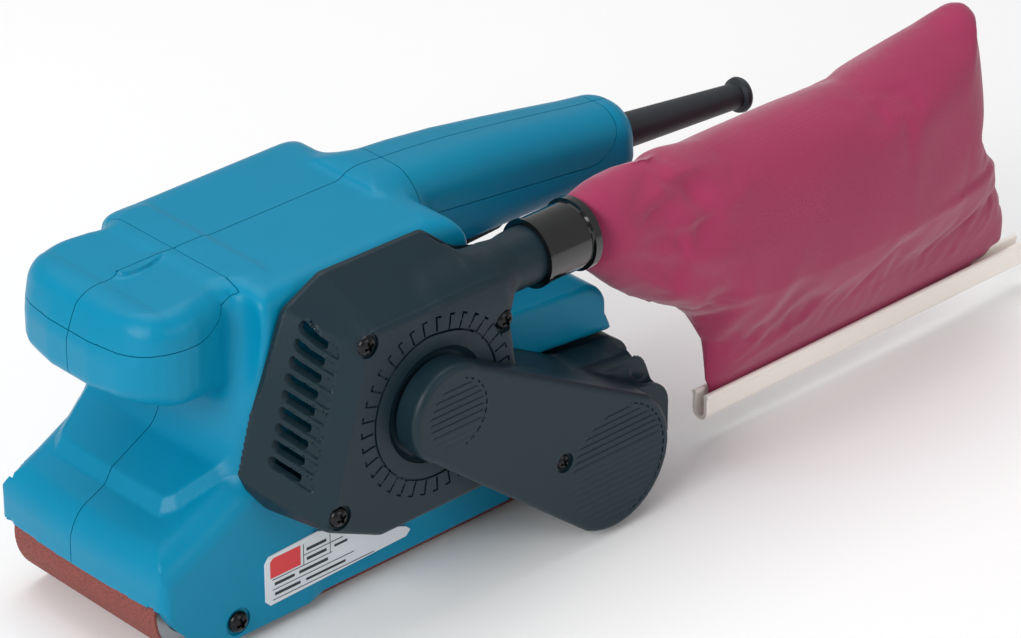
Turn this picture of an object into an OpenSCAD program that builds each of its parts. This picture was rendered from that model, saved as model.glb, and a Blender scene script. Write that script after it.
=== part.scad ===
// Handheld belt sander with a transverse motor, two grips and a side dust bag.
// Millimetres. Origin: centre of the sole, on the belt's underside.
// +X points to the rear handle, +Y to the belt-change side, +Z up.

/* [Sanding belt] */
// Width of the sanding belt
belt_w = 76; // [60:1:76]
// Length of the sanding belt along its neutral line
belt_len = 457; // [455:1:459]
// Thickness of the sanding belt
belt_t = 1; // [0.8:0.1:1]
// Radius of the belt's outside at the front roller
front_r = 22; // [21:0.5:22]
// Radius of the belt's outside at the drive roller
rear_r = 26.5; // [26:0.5:26.5]

/* [Housing] */
// Half width of the housing across the belt
half_w = 44.5; // [44.5:0.5:46]
// Wall thickness of the plastic shells
wall = 2.5; // [2:0.25:2.5]
// Height of the flat top
top_z = 130; // [128:1:132]
// Place of the plane that parts the left and right shells
part_y = 3; // [2:0.5:4]

/* [Motor] */
// Place of the motor's axis along the tool
motor_x = 1.2; // [0:0.2:2]
// Height of the motor's axis
motor_z = 78.8; // [78:0.2:80]
// Radius of the armature core
armature_r = 20; // [18:0.5:20]
// Radius of the armature shaft
motor_shaft_r = 4; // [3.5:0.5:4]
// Teeth on the motor pulley
motor_teeth = 14; // [12:1:16]
// Teeth on the driven pulley
driven_teeth = 42; // [40:1:44]

/* [Dust outlet] */
// Outside radius of the outlet pipe
pipe_r = 10.5; // [9.5:0.5:10.5]
// Place of the pipe's axis across the tool
pipe_y = -55; // [-56:0.5:-54]
// Height of the pipe's axis
pipe_z = 110.5; // [109:0.5:112]
// Length of the bag's clamping strip
clip_len = 175; // [160:1:180]

/* [Cord guard] */
// Radius of the hole for the mains cord
cord_hole_r = 3.6; // [3:0.1:4]
// Length of the guard outside the handle
guard_len = 63; // [50:1:70]

/* [Hidden] */
$fn = 48;

gap = 0.3;                       // between curved faces that move past each other
run = 0.05;                      // radial clearance of a running shaft
seat = 0.02;                     // radial clearance of a fixed seat
slope = asin((rear_r - front_r) / 154);
half_span = (belt_len - PI * (front_r + rear_r - belt_t) - slope * PI / 90 * (rear_r - front_r)) / 4;
front_x = -half_span;
rear_x = half_span;
top_mid = front_r + rear_r;      // height of the upper belt run above the origin
top_rise = (rear_r - front_r) / half_span;
front_roll_r = front_r - belt_t - gap;
rear_roll_r = rear_r - belt_t - gap;
inner_w = half_w - wall;
nose_x = -101.5;
rear_wall_x = 109;
saddle_y = -27;                  // left side of the finger room
grip_mid_y = part_y;
cover_y = -69;                   // outer face of the motor cover
drive_y = -79;                   // outer face of the drive cover
drive_in_y = cover_y - 0.3;      // where the drive cover starts
tooth_pitch = 3;
motor_pulley_r = motor_teeth * tooth_pitch / (2 * PI) - 0.3;
driven_pulley_r = driven_teeth * tooth_pitch / (2 * PI) - 0.3;
tooth_r = 0.75;
pulley_y0 = -76;
pulley_y1 = -70;
shaft_r = 5;
bearing_r = 13;
motor_bearing_r = 11;
beam_x0 = -42;
beam_x1 = 44;
beam_top = 39;
axle_r = 4;
lever_x = -8;
lever_z = 22;
trigger_x = 61;
trigger_z = 98;
button_x = 74;
button_z = 104;
dial_x = 24;
dial_z = 108;
guard_x = 157;
guard_z = 101;
guard_tilt = 5.6;
sleeve_x0 = 56;
sleeve_x1 = 80;
clip_x = 143;
clip_z = 9;
bag_y = -54;
vent_count = 9;
vent_pitch = 5.75;
vent_top = 116;

// ---------- helpers ----------

// Points along an arc from angle a0 to a1
function arc(cx, cz, r, a0, a1, n = 6) =
    [for (i = [0:n]) let (a = a0 + (a1 - a0) * i / n) [cx + r * cos(a), cz + r * sin(a)]];

// A side view in X and Z, given thickness between y0 and y1
module side(y0, y1) translate([0, y1, 0]) rotate([90, 0, 0]) linear_extrude(y1 - y0) children();

// A front view in Y and Z, given length between x0 and x1
module front(x0, x1) translate([x0, 0, 0]) rotate([90, 0, 90]) linear_extrude(x1 - x0) children();

// A plan in X and Y, given height between z0 and z1
module plan(z0, z1) translate([0, 0, z0]) linear_extrude(z1 - z0) children();

// A round bar along Y
module ybar(x, z, y0, y1, r, n = 64)
    translate([x, y0, z]) rotate([-90, 0, 0]) cylinder(h = y1 - y0, r = r, $fn = n);

// A round bar along X
module xbar(y, z, x0, x1, r, n = 48)
    translate([x0, y, z]) rotate([0, 90, 0]) cylinder(h = x1 - x0, r = r, $fn = n);

// A ring about an axis along Y
module yring(x, z, y0, y1, r_out, r_in, n = 64)
    difference() {
        ybar(x, z, y0, y1, r_out, n);
        ybar(x, z, y0 - 1, y1 + 1, r_in, n);
    }

// A box from its lowest to its highest corner
module span_box(a, b) translate(a) cube(b - a);

// Half of a solid on one side of the parting plane
module left_half() intersection() {
    children();
    span_box([-200, -200, -20], [300, part_y, 200]);
}
module right_half() intersection() {
    children();
    span_box([-200, part_y, -20], [300, 200, 200]);
}

// ---------- housing ----------

// Side view of the main shell, without grips
module shell_outline()
    polygon(concat(
        [[nose_x + 1, 26], [nose_x, 30], [nose_x, 40], [-98, 47.6], [-87, 54.5], [-66, 68]],
        arc(-76, 93, 20, -50, 0, 5),
        [[-52, 112]],
        arc(-46, top_z - 6, 6, 180, 90, 4),
        arc(24, top_z - 16, 16, 90, 0, 6),
        [[46.5, 98]],
        arc(62, 92, 12, 190, 255, 4),
        [[92, 78]],
        arc(94, 66, 12, 80, 0, 5),
        [[106, 63], [rear_wall_x, 57], [rear_wall_x, 55.5], [61, 60], [60, 4], [-68, 4]],
        arc(-66, 39, 35, -94, -146, 6)));

// Room for the fingers between the rear handle and the housing below it
module saddle_outline()
    polygon(concat(
        [[120, 160], [53, 160], [53, 82]],
        arc(65, 80, 12, 180, 255, 5),
        [[94, 64], [120, 62]]));

// The main shell, or its inside when inset by the wall
module shell_block(inset)
    difference() {
        shell_form(inset);
        side(saddle_y - inset, 80) offset(delta = inset) saddle_outline();
    }

module shell_form(inset)
    intersection() {
        side(-half_w + inset, half_w - inset) offset(delta = -inset) shell_outline();
        plan(-10, 200) polygon(concat(
            [[nose_x + inset, 0], [nose_x + 0.6 + inset, -25]],
            arc(nose_x + 6.2, -half_w + 5, 5 - inset, 190, 270, 4),
            arc(rear_wall_x - 10, -half_w + 10, 10 - inset, 270, 360),
            arc(rear_wall_x - 10, half_w - 10, 10 - inset, 0, 90),
            arc(nose_x + 6.2, half_w - 5, 5 - inset, 90, 170, 4),
            [[nose_x + 0.6 + inset, 25]]));
        front(-150, 150) polygon(concat(
            [[-half_w + inset, -10]],
            arc(-half_w + 12, top_z - 12, 12 - inset, 180, 90, 4),
            arc(half_w - 12, top_z - 12, 12 - inset, 90, 0, 4),
            [[half_w - inset, -10]]));
    }

// Front knob in side view and in plan
module knob_outline()
    polygon(concat(
        [[-50, 129.5], [-70, 129]],
        arc(-84, 113, 15.5, 80, 130, 4),
        arc(-93.5, 111, 8, 150, 180, 3),
        arc(-96, 102.5, 5.5, 180, 255, 4),
        [[-80, 94.5], [-62, 93], [-50, 93]]));

module knob_plan()
    polygon(concat(
        [[-50, grip_mid_y - 38]],
        [[-50, grip_mid_y + 38]],
        arc(-75, grip_mid_y + 10, 26, 90, 180, 7),
        arc(-75, grip_mid_y - 10, 26, 180, 270, 7)));

module knob_block(inset)
    intersection() {
        side(-60, 60) offset(delta = -inset) knob_outline();
        plan(80, 140) offset(delta = -inset) knob_plan();
    }

// Part of the knob that the cap covers
module cap_region()
    side(-60, 60) polygon(concat(
        [[-120, 116], [-72, 116]],
        arc(-72, 130, 14, -90, -25, 5),
        [[-52.2, 127], [-52.2, 150], [-120, 150]]));

// Rear handle, one smooth form
module handle_block(inset) {
    spots = [[34, 7, 119.5, 12], [74, 5.5, 115.7, 12.5], [116, 3, 108.7, 13.2], [143, 1, 103.3, 14],
        [146, 1, 99, 12], [100, 6, 101, 10], [40, 9, 102, 9]];
    hull()
        for (s = spots, m = [-1, 1])
            translate([s[0], grip_mid_y + m * s[1], s[2]]) sphere(r = s[3] - inset, $fn = 24);
}

// Stands its children on the start of the cord guard, along its axis
module guard_axis()
    translate([guard_x - 9, grip_mid_y, guard_z]) rotate([0, 90 + guard_tilt, 0]) children();

// Part of the handle that the panels cover
module panel_region()
    side(-60, 60) polygon(concat(
        [[36, 150], [36, 116], [46, 113.5], [80, 109], [127, 102.3]],
        arc(128, 117, 15, -80, 0, 6),
        [[143, 150]]));

// Everything that the plastic shells surround, kept clear
module shell_hollow() {
    shell_block(wall);
    knob_block(wall);
    handle_block(wall);
    span_box([-60, -inner_w + 12, 97], [-40, inner_w - 12, top_z - wall - 2]);
    span_box([30, grip_mid_y - 12, 102], [56, grip_mid_y + 12, top_z - wall - 3]);
    // the belt's chamber is open below
    span_box([nose_x + 2.2, -inner_w + 2, -5], [-60, inner_w - 2, 40]);
    span_box([-75, -inner_w, -5], [62, inner_w, 54]);
}

module shell_solid()
    difference() {
        union() {
            shell_block(0);
            difference() {
                knob_block(0);
                cap_region();
            }
            difference() {
                handle_block(0);
                panel_region();
            }
        }
        shell_hollow();
        // seat of the drive roller and its cover
        span_box([61, -60, -5], [120, 60, 55]);
        // slot of the trigger
        span_box([trigger_x - 6, grip_mid_y - 7.6, 80], [96.5, grip_mid_y + 7.6, 101]);
    }

module housing_left()
    color([0, 0.5, 0.63])
    difference() {
        left_half() shell_solid();
        // air way to the fan
        ybar(motor_x, motor_z, -60, -30, 31);
        // hole of the tracking screw
        ybar(-68, 10.5, -60, -30, 2.5 + run);
        // half of the seat of the cord guard
        guard_axis() translate([0, 0, -8]) cylinder(h = 30, r = 7.3);
    }

module housing_right()
    color([0, 0.5, 0.63])
    difference() {
        union() {
            right_half() shell_solid();
            // seat of the right motor bearing
            ybar(motor_x, motor_z, 34.8, inner_w + 1, 14);
        }
        // the belt comes off to this side
        span_box([-97.5, 0, -5], [61, 60, 47]);
        ybar(motor_x, motor_z, 30, 41.8, motor_bearing_r + seat);
        ybar(button_x, button_z, 10, 30, 5 + run);
        ybar(dial_x, dial_z, 30, 60, 3 + run);
        guard_axis() translate([0, 0, -8]) cylinder(h = 30, r = 7.3);
        // air slots beside the motor
        for (k = [0:6])
            span_box([-24, 40, 62 + 6 * k], [-14, 50, 65 + 6 * k]);
    }

module grip_cap()
    intersection() {
        difference() {
            knob_block(0);
            knob_block(wall);
            span_box([-60, -inner_w + 12, 97], [-40, inner_w - 12, top_z - wall - 2]);
        }
        cap_region();
    }

module grip_cap_left() color([0, 0.5, 0.63]) left_half() grip_cap();
module grip_cap_right() color([0, 0.5, 0.63]) right_half() grip_cap();

module handle_panel()
    intersection() {
        difference() {
            handle_block(0);
            handle_block(wall);
            shell_block(0);
        }
        panel_region();
    }

module handle_panel_left() color([0, 0.48, 0.6]) left_half() handle_panel();
module handle_panel_right() color([0, 0.48, 0.6]) right_half() handle_panel();

// ---------- covers ----------

module rear_cover()
    color([0.17, 0.22, 0.24])
    difference() {
        side(-half_w, half_w) polygon(concat(
            [[61.5, 54.8], [100, 54.8]],
            arc(104, 46, 8.5, 80, 0, 4),
            [[112.5, 24]],
            arc(82.5, 22, 30, 0, -22, 3),
            [[100, 11], [82, 54]]));
        ybar(rear_x, rear_r, -60, 60, rear_r + 2);
        span_box([50, -60, -5], [rear_x, 60, rear_r + 25]);
    }

// Motor cover where it meets the housing, and its outer face
module cover_foot(inset)
    offset(delta = -inset) polygon(concat(
        [[-68, 71], [-64, 62], [-54, 50], [-26, 37], [38, 37], [38, 113]],
        arc(14, 125.5, 6, 60, 90, 3),
        arc(-30, 119.5, 12, 90, 150, 4),
        [[-47, 123]]));

module cover_face(inset)
    offset(delta = -inset) polygon(concat(
        [[-50, 53], [-47, 48], [-24, 37.3], [36, 37.3], [38, 78]],
        arc(29, 110, 7.5, 15, 75, 4),
        arc(-26, 111, 7, 90, 160, 4)));

module cover_block(inset, face_y)
    hull() {
        side(-47, -half_w) cover_foot(inset);
        side(face_y, face_y + 4) cover_face(inset);
    }

module motor_cover()
    color([0.17, 0.23, 0.25])
    difference() {
        union() {
            difference() {
                union() {
                    cover_block(0, cover_y);
                    xbar(pipe_y, pipe_z, 26, 74, pipe_r);
                }
                intersection() {
                    cover_block(2.2, cover_y + 2.2);
                    span_box([-90, -80, 20], [90, -44, 140]);
                }
                side(-half_w - 1, -half_w + 1) cover_foot(2.2);
            }
            ybar(motor_x, motor_z, cover_y + 1, -60.5, 14);
        }
        xbar(pipe_y, pipe_z, 20, 80, pipe_r - 1.8);
        ybar(motor_x, motor_z, cover_y + 1.2, -50, motor_bearing_r + seat);
        ybar(motor_x, motor_z, cover_y - 2, -50, motor_shaft_r + 1.5);
        // air slots in the front side
        for (k = [0:vent_count - 1])
            translate([-59, -55, vent_top - vent_pitch * k]) rotate([40, 0, 0]) cube([42, 10, 2.9], center = true);
        // ring groove on the face
        yring(motor_x, motor_z, cover_y - 1, cover_y + 0.5, 28.2, 27.2);
        for (p = [[-29, 113], [33, 99], [-42.5, 52]])
            ybar(p[0], p[1], cover_y - 1, cover_y + 1.2, 4.4);
    }

// Outline shared by the toothed drive's cover and its case
module drive_outline(inset)
    hull() {
        translate([motor_x, motor_z]) circle(r = 18.5 - inset);
        translate([rear_x, 28.5]) circle(r = 26.5 - inset);
    }

module case_outline(inset)
    difference() {
        union() {
            drive_outline(inset);
            offset(delta = -inset) polygon(concat(
                [[70, 50], [84, 57]],
                arc(104, 46, 8.5, 80, 0, 4),
                [[112.5, 26], [104, 14], [80, 10]]));
        }
        translate([-60, 0]) square([98.6 + inset, 140]);
    }

module drive_case()
    color([0.17, 0.23, 0.25])
    difference() {
        side(drive_in_y, -half_w - 0.2) case_outline(0);
        side(drive_in_y - 1, -half_w - 2.4) case_outline(2);
        ybar(rear_x, rear_r, -60, -40, 15.8);
    }

module drive_cover()
    color([0.15, 0.2, 0.22])
    difference() {
        union() {
            side(drive_y + 1.2, drive_in_y) drive_outline(0);
            side(drive_y, drive_y + 1.2) drive_outline(1.2);
        }
        side(drive_y + 1.9, drive_in_y + 1) drive_outline(2);
        ybar(52, 39, drive_y - 1, drive_y + 1.2, 3.4);
        ybar(52, 39, drive_y - 1, drive_y + 5, 1.8);
    }

module rating_plate()
    color([0.85, 0.86, 0.87])
    side(-half_w - 0.5, -half_w) polygon(
        [[-56, 28], [-54, 30.5], [-32, 31.5], [8, 16.5], [10, 14.5], [8, 12.5], [-54, 11], [-56, 13]]);

// Screws of the motor cover, one beside each corner
module cover_screws()
    color([0.06, 0.06, 0.07])
    for (p = [[-29, 113], [33, 99], [-42.5, 52]])
        difference() {
            ybar(p[0], p[1], cover_y - 0.9, cover_y + 1.2, 3.6);
            translate([p[0], cover_y - 0.9, p[1]]) cube([3.6, 1.6, 0.8], center = true);
            translate([p[0], cover_y - 0.9, p[1]]) cube([0.8, 1.6, 3.6], center = true);
        }

module drive_screw()
    color([0.06, 0.06, 0.07])
    difference() {
        union() {
            ybar(52, 39, drive_y + 0.3, drive_y + 1.2, 3);
            ybar(52, 39, drive_y + 1.2, drive_y + 6, 1.7);
        }
        translate([52, drive_y + 0.3, 39]) cube([3.2, 1, 0.7], center = true);
        translate([52, drive_y + 0.3, 39]) cube([0.7, 1, 3.2], center = true);
    }

// ---------- frame, platen and belt ----------

// Height above the upper belt run, which rises to the rear
function run_z(x, off) = top_mid + top_rise * x + off;

module frame()
    color([0.62, 0.63, 0.64])
    difference() {
        union() {
            // side plate
            side(-inner_w, -39.5) polygon([[-50, 8], [rear_x, 6], [92, 12], [96, 27], [88, 47],
                [62, 53.5], [-62, 47.3], [-60, 44], [-50, 30]]);
            // deck above the belt
            side(-39.6, 38) polygon([[-62, run_z(-62, 1.3)], [56, run_z(56, 1.3)],
                [56, run_z(56, 3.2)], [-62, run_z(-62, 3.2)]]);
            // beam between the belt runs, with two rooms open to the right
            difference() {
                span_box([beam_x0, -39.6, 4], [beam_x1, 36.5, beam_top]);
                span_box([beam_x0 + 4, -35.5, 8], [-26, 40, beam_top - 4]);
                span_box([-22, -35.5, 8], [beam_x1 - 4, 40, beam_top - 4]);
            }
            // rib that carries the lever's pin
            span_box([-23, 18, 7], [8, 24, beam_top - 3]);
            // bearing boss of the drive roller
            ybar(rear_x, rear_r, -66, -39.5, 15.5);
        }
        ybar(lever_x, lever_z, 17, 25, 4 + run);
        ybar(rear_x, rear_r, -67, -41.5, bearing_r + seat);
        ybar(rear_x, rear_r, -67, -38, shaft_r + 3);
        xbar(0, lever_z, beam_x0 - 1, 0, axle_r + run);
    }

module platen_plate() color([0.7, 0.71, 0.73]) span_box([-54, -37, 2.2], [50, 37, 4]);
module platen_pad() color([0.2, 0.2, 0.2]) span_box([-53, -37, belt_t], [49, 37, 2.2]);

module belt_loop(inset)
    hull() {
        translate([front_x, front_r]) circle(r = front_r - inset, $fn = 64);
        translate([rear_x, rear_r]) circle(r = rear_r - inset, $fn = 64);
    }

module sanding_belt()
    color([0.5, 0.25, 0.2])
    side(-belt_w / 2, belt_w / 2)
        difference() {
            belt_loop(0);
            belt_loop(belt_t);
        }

// ---------- motor ----------

module stator_core()
    color([0.45, 0.45, 0.47])
    difference() {
        intersection() {
            ybar(motor_x, motor_z, -22, 18, 31);
            span_box([motor_x - 31, -22, motor_z - 24.6], [motor_x + 31, 18, motor_z + 24.6]);
        }
        ybar(motor_x, motor_z, -23, 19, armature_r + 0.6);
    }

module field_coils()
    color([0.72, 0.35, 0.15]) {
        yring(motor_x, motor_z, -30, -22, 24.4, armature_r + 0.6);
        yring(motor_x, motor_z, 18, 26, 24.4, armature_r + 0.6);
    }

module armature_shaft() color([0.75, 0.75, 0.77]) ybar(motor_x, motor_z, -76.8, 41.5, motor_shaft_r);

module armature_core()
    color([0.5, 0.5, 0.52])
    difference() {
        yring(motor_x, motor_z, -22, 18, armature_r, motor_shaft_r + seat);
        for (k = [0:11])
            translate([motor_x, 0, motor_z]) rotate([0, 30 * k, 0]) ybar(0, armature_r - 1, -23, 19, 1.6, 16);
    }

module armature_windings()
    color([0.72, 0.35, 0.15]) {
        yring(motor_x, motor_z, -29, -22, armature_r - 2, motor_shaft_r + seat);
        yring(motor_x, motor_z, 18, 24, armature_r - 3, motor_shaft_r + seat);
    }

module commutator()
    color([0.75, 0.45, 0.25])
    difference() {
        yring(motor_x, motor_z, 24.2, 34, 11, motor_shaft_r + seat);
        for (k = [0:23])
            translate([motor_x, 30, motor_z]) rotate([0, 15 * k, 0])
                translate([0, 0, 11]) cube([0.5, 12, 1], center = true);
    }

module cooling_fan()
    color([0.85, 0.83, 0.78])
    difference() {
        union() {
            ybar(motor_x, motor_z, -58, -46, 9);
            ybar(motor_x, motor_z, -47.5, -46, 29);
            for (k = [0:10])
                translate([motor_x, -52, motor_z]) rotate([0, 360 / 11 * k, 0])
                    translate([0, 0, 18]) rotate([0, 25, 0]) cube([1.4, 11, 20], center = true);
        }
        ybar(motor_x, motor_z, -60, -40, motor_shaft_r + seat);
    }

module motor_bearings()
    color([0.8, 0.8, 0.82]) {
        yring(motor_x, motor_z, cover_y + 1.3, cover_y + 8.2, motor_bearing_r, motor_shaft_r + run);
        yring(motor_x, motor_z, 34.9, 41.7, motor_bearing_r, motor_shaft_r + run);
    }

module brush_pair(r0, r1, y0, y1, half_h)
    for (m = [-1, 1])
        translate([motor_x, 0, motor_z]) mirror([m < 0 ? 1 : 0, 0, 0])
            span_box([r0, y0, -half_h], [r1, y1, half_h]);

module brush_holders()
    color([0.78, 0.62, 0.3])
    difference() {
        brush_pair(12.5, 33, 26.2, 33.4, 5);
        brush_pair(10, 31.5, 27.2, 32.4, 4);
    }

module carbon_brushes() color([0.15, 0.15, 0.15]) brush_pair(11.3, 23, 27.3, 32.3, 3.9);

module brush_springs()
    color([0.75, 0.75, 0.77])
    for (m = [-1, 1])
        translate([motor_x, 0, motor_z]) mirror([m < 0 ? 1 : 0, 0, 0])
            difference() {
                xbar(29.8, 0, 23.1, 31.4, 2.2, 24);
                xbar(29.8, 0, 22, 33, 1.6, 24);
            }

// ---------- toothed drive ----------

module pulley(x, z, r, teeth, y0, y1, bore_r)
    difference() {
        ybar(x, z, y0, y1, r);
        for (k = [0:teeth - 1])
            translate([x, 0, z]) rotate([0, 360 * k / teeth, 0]) ybar(0, r, y0 - 1, y1 + 1, tooth_r, 16);
        ybar(x, z, y0 - 1, y1 + 1, bore_r);
    }

module motor_pulley()
    color([0.7, 0.7, 0.72]) {
        pulley(motor_x, motor_z, motor_pulley_r, motor_teeth, pulley_y0, pulley_y1, motor_shaft_r + seat);
        yring(motor_x, motor_z, -76.8, pulley_y0, motor_pulley_r + 1.6, motor_shaft_r + seat);
    }

module driven_pulley()
    color([0.7, 0.7, 0.72])
    difference() {
        union() {
            pulley(rear_x, rear_r, driven_pulley_r, driven_teeth, pulley_y0, pulley_y1, shaft_r + seat);
            yring(rear_x, rear_r, pulley_y1, -66.5, 9, shaft_r + seat);
        }
        ybar(rear_x, rear_r, -78, -74, 8);
        for (k = [0:4])
            translate([rear_x, 0, rear_r]) rotate([0, 72 * k, 0]) ybar(0, 13, -80, -60, 2.6, 24);
    }

module pulley_nut()
    color([0.65, 0.65, 0.66])
    difference() {
        translate([rear_x, -76.9, rear_r]) rotate([-90, 0, 0]) cylinder(h = 2.9, r = 7, $fn = 6);
        ybar(rear_x, rear_r, -80, -70, shaft_r + seat);
    }

module toothed_loop(extra)
    hull() {
        translate([motor_x, motor_z]) circle(r = motor_pulley_r + extra);
        translate([rear_x, rear_r]) circle(r = driven_pulley_r + extra);
    }

module toothed_belt()
    color([0.08, 0.08, 0.08])
    side(-75.6, -70.4)
        difference() {
            toothed_loop(gap + 1.6);
            toothed_loop(gap);
        }

// ---------- rollers ----------

module drive_shaft() color([0.75, 0.75, 0.77]) ybar(rear_x, rear_r, -76.8, 34, shaft_r);

module rear_roller()
    color([0.72, 0.72, 0.74])
    difference() {
        ybar(rear_x, rear_r, -36, 36, rear_roll_r - 3);
        ybar(rear_x, rear_r, 30, 37, rear_roll_r - 5);
        ybar(rear_x, rear_r, -37, -30, rear_roll_r - 5);
        for (k = [0:5])
            translate([rear_x, 0, rear_r]) rotate([0, 60 * k, 0]) ybar(0, 13, -40, 40, 4, 24);
        ybar(rear_x, rear_r, -40, 40, shaft_r + seat);
    }

module rear_tyre()
    color([0.12, 0.12, 0.12])
    difference() {
        yring(rear_x, rear_r, -36, 36, rear_roll_r, rear_roll_r - 3);
        for (k = [-5:5])
            yring(rear_x, rear_r, 6 * k - 0.7, 6 * k + 0.7, rear_roll_r + 1, rear_roll_r - 0.8);
    }

module rear_bearings()
    color([0.8, 0.8, 0.82]) {
        yring(rear_x, rear_r, -50, -42, bearing_r, shaft_r + run);
        yring(rear_x, rear_r, -65.5, -57.5, bearing_r, shaft_r + run);
    }

module front_roller()
    color([0.72, 0.72, 0.74])
    difference() {
        yring(front_x, front_r, -34, 34, front_roll_r, motor_bearing_r + seat);
        for (m = [-1, 1])
            ybar(front_x, front_r, m * 34 - 4, m * 34 + 4, front_roll_r - 5);
    }

module front_bearings()
    color([0.8, 0.8, 0.82])
    for (m = [-1, 1])
        yring(front_x, front_r, m * 24 - 3.5, m * 24 + 3.5, motor_bearing_r, axle_r + run);

module front_axle() color([0.75, 0.75, 0.77]) ybar(front_x, front_r, -38.4, 38.4, axle_r);

module tension_yoke()
    color([0.6, 0.62, 0.64])
    difference() {
        union() {
            span_box([-54, -38.6, 12], [-51, 38.6, 32]);
            for (m = [-1, 1])
                side(m * 37.2 - 1.4, m * 37.2 + 1.4)
                    polygon(concat(arc(front_x, front_r, 9, 90, 270, 12), [[-51, 12], [-51, 32]]));
            xbar(0, lever_z, -51.5, -12, axle_r);
            xbar(0, lever_z, -37.5, -35.5, 7);
        }
        ybar(front_x, front_r, -45, 45, axle_r + seat);
    }

// Compression spring that pushes the yoke forward
module tension_spring()
    color([0.35, 0.37, 0.4])
    for (k = [0:4])
        translate([-34.5 + 1.8 * k, 0, lever_z]) rotate([0, 90, 0])
            rotate_extrude($fn = 32) translate([5.6, 0]) circle(r = 0.7, $fn = 16);

module tension_lever()
    color([0.75, 0.76, 0.77])
    union() {
        difference() {
            side(38.6, 41.4) polygon(concat(
                arc(lever_x, lever_z, 8, 60, 300, 12),
                arc(lever_x + 34, lever_z, 4.5, -90, 90, 6)));
            side(38, 40.2) polygon([[lever_x + 10, lever_z - 1], [lever_x + 30, lever_z - 1],
                [lever_x + 30, lever_z + 1], [lever_x + 10, lever_z + 1]]);
        }
        ybar(lever_x, lever_z, 8, 38.6, 4);
        ybar(lever_x - 1.5, lever_z, 8, 16, 5);
    }

module tracking_screw()
    color([0.1, 0.1, 0.1])
    difference() {
        union() {
            ybar(-68, 10.5, -46.6, -44.7, 4);
            ybar(-68, 10.5, -44.7, -39.6, 2.5);
        }
        translate([-68, -46.6, 10.5]) cube([6, 1.6, 1], center = true);
    }

// ---------- controls ----------

module trigger()
    color([0.1, 0.1, 0.1])
    union() {
        difference() {
            side(grip_mid_y - 6.8, grip_mid_y + 6.8) polygon(concat(
                arc(trigger_x, trigger_z, 4, 60, 190, 5),
                [[60.5, 90.5]],
                arc(68, 104, 17.5, 240, 275, 4),
                arc(90, 91, 3.5, -90, 0, 4),
                [[93.5, 98]]));
            side(grip_mid_y - 5, grip_mid_y + 5) polygon([[66, 110], [66, 94], [90, 93], [90, 110]]);
        }
        ybar(trigger_x, trigger_z, grip_mid_y - 7.5, grip_mid_y + 7.5, 2);
    }

module switch_body()
    color([0.13, 0.13, 0.14])
    union() {
        span_box([64, grip_mid_y - 9, 103.2], [100, grip_mid_y + 6, 117]);
        span_box([100, grip_mid_y - 6, 106], [106, grip_mid_y + 4, 114]);
    }

module lock_button()
    color([0.08, 0.08, 0.08]) {
        ybar(button_x, button_z, 15.6, 23, 5);
        ybar(button_x, button_z, 14, 15.6, 6.4);
    }

module speed_dial()
    color([0.1, 0.1, 0.1])
    difference() {
        union() {
            ybar(dial_x, dial_z, half_w + 0.3, half_w + 4.5, 9);
            ybar(dial_x, dial_z, 38.4, half_w + 0.3, 3);
        }
        for (k = [0:17])
            translate([dial_x, 0, dial_z]) rotate([0, 20 * k, 0])
                ybar(0, 9.2, half_w, half_w + 6, 0.7, 16);
    }

module speed_controller()
    color([0.15, 0.35, 0.2])
    union() {
        span_box([12, 26, 105], [36, 36, 113]);
        ybar(dial_x, dial_z, 36, 38, 5);
    }

module cord_guard()
    color([0.12, 0.14, 0.15])
    guard_axis()
        rotate_extrude()
            polygon([[cord_hole_r, 0], [7.1, 0], [7.1, 1.6], [6.6, 2.4], [6.6, 12], [4.9, guard_len + 6],
                [6.6, guard_len + 6.6], [6.9, guard_len + 8], [6.5, guard_len + 9], [cord_hole_r, guard_len + 9]]);

// ---------- dust bag ----------

module nozzle_sleeve()
    color([0.03, 0.03, 0.03])
    translate([sleeve_x0, pipe_y, pipe_z]) rotate([0, 90, 0])
        rotate_extrude($fn = 64)
            polygon([[pipe_r + gap, 0], [pipe_r + 2.2, 0], [pipe_r + 2.2, 1.5], [pipe_r + 1.8, 2],
                [pipe_r + 1.8, 20], [pipe_r + 2.9, 20.4], [pipe_r + 2.9, 23.4], [pipe_r + gap, 23.4]]);

// Side view of the filled bag
module bag_outline()
    polygon(concat(
        [[sleeve_x1, 97], [96, 81], [112, 70], [128, 60], [142, 44], [clip_x + 3, 30], [clip_x + 3, clip_z + 2]],
        [[310, clip_z + 2], [309, 24], [297, 57], [287, 90], [281, 118]],
        arc(270, 126, 9, 0, 100, 5),
        [[240, 128], [205, 125], [145, 124], [92, 127], [sleeve_x1, 124]]));

module dust_bag()
    color([0.6, 0.22, 0.36])
    intersection() {
        side(bag_y - 40, bag_y + 40) bag_outline();
        front(sleeve_x1, 330) polygon([[bag_y - 1.5, clip_z + 2], [bag_y - 1.5, clip_z + 14],
            [bag_y - 12, 45], [bag_y - 23, 75], [bag_y - 23, 105], [bag_y - 14, 126], [bag_y - 6, 140],
            [bag_y + 6, 140], [bag_y + 14, 126], [bag_y + 23, 105], [bag_y + 23, 75], [bag_y + 12, 45],
            [bag_y + 1.5, clip_z + 14], [bag_y + 1.5, clip_z + 2]]);
        plan(0, 150) polygon([[sleeve_x1, bag_y - 13], [100, bag_y - 19], [140, bag_y - 23],
            [230, bag_y - 23], [300, bag_y - 8], [320, bag_y - 2], [320, bag_y + 2], [300, bag_y + 8],
            [230, bag_y + 23], [140, bag_y + 23], [100, bag_y + 19], [sleeve_x1, bag_y + 13]]);
    }

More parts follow.
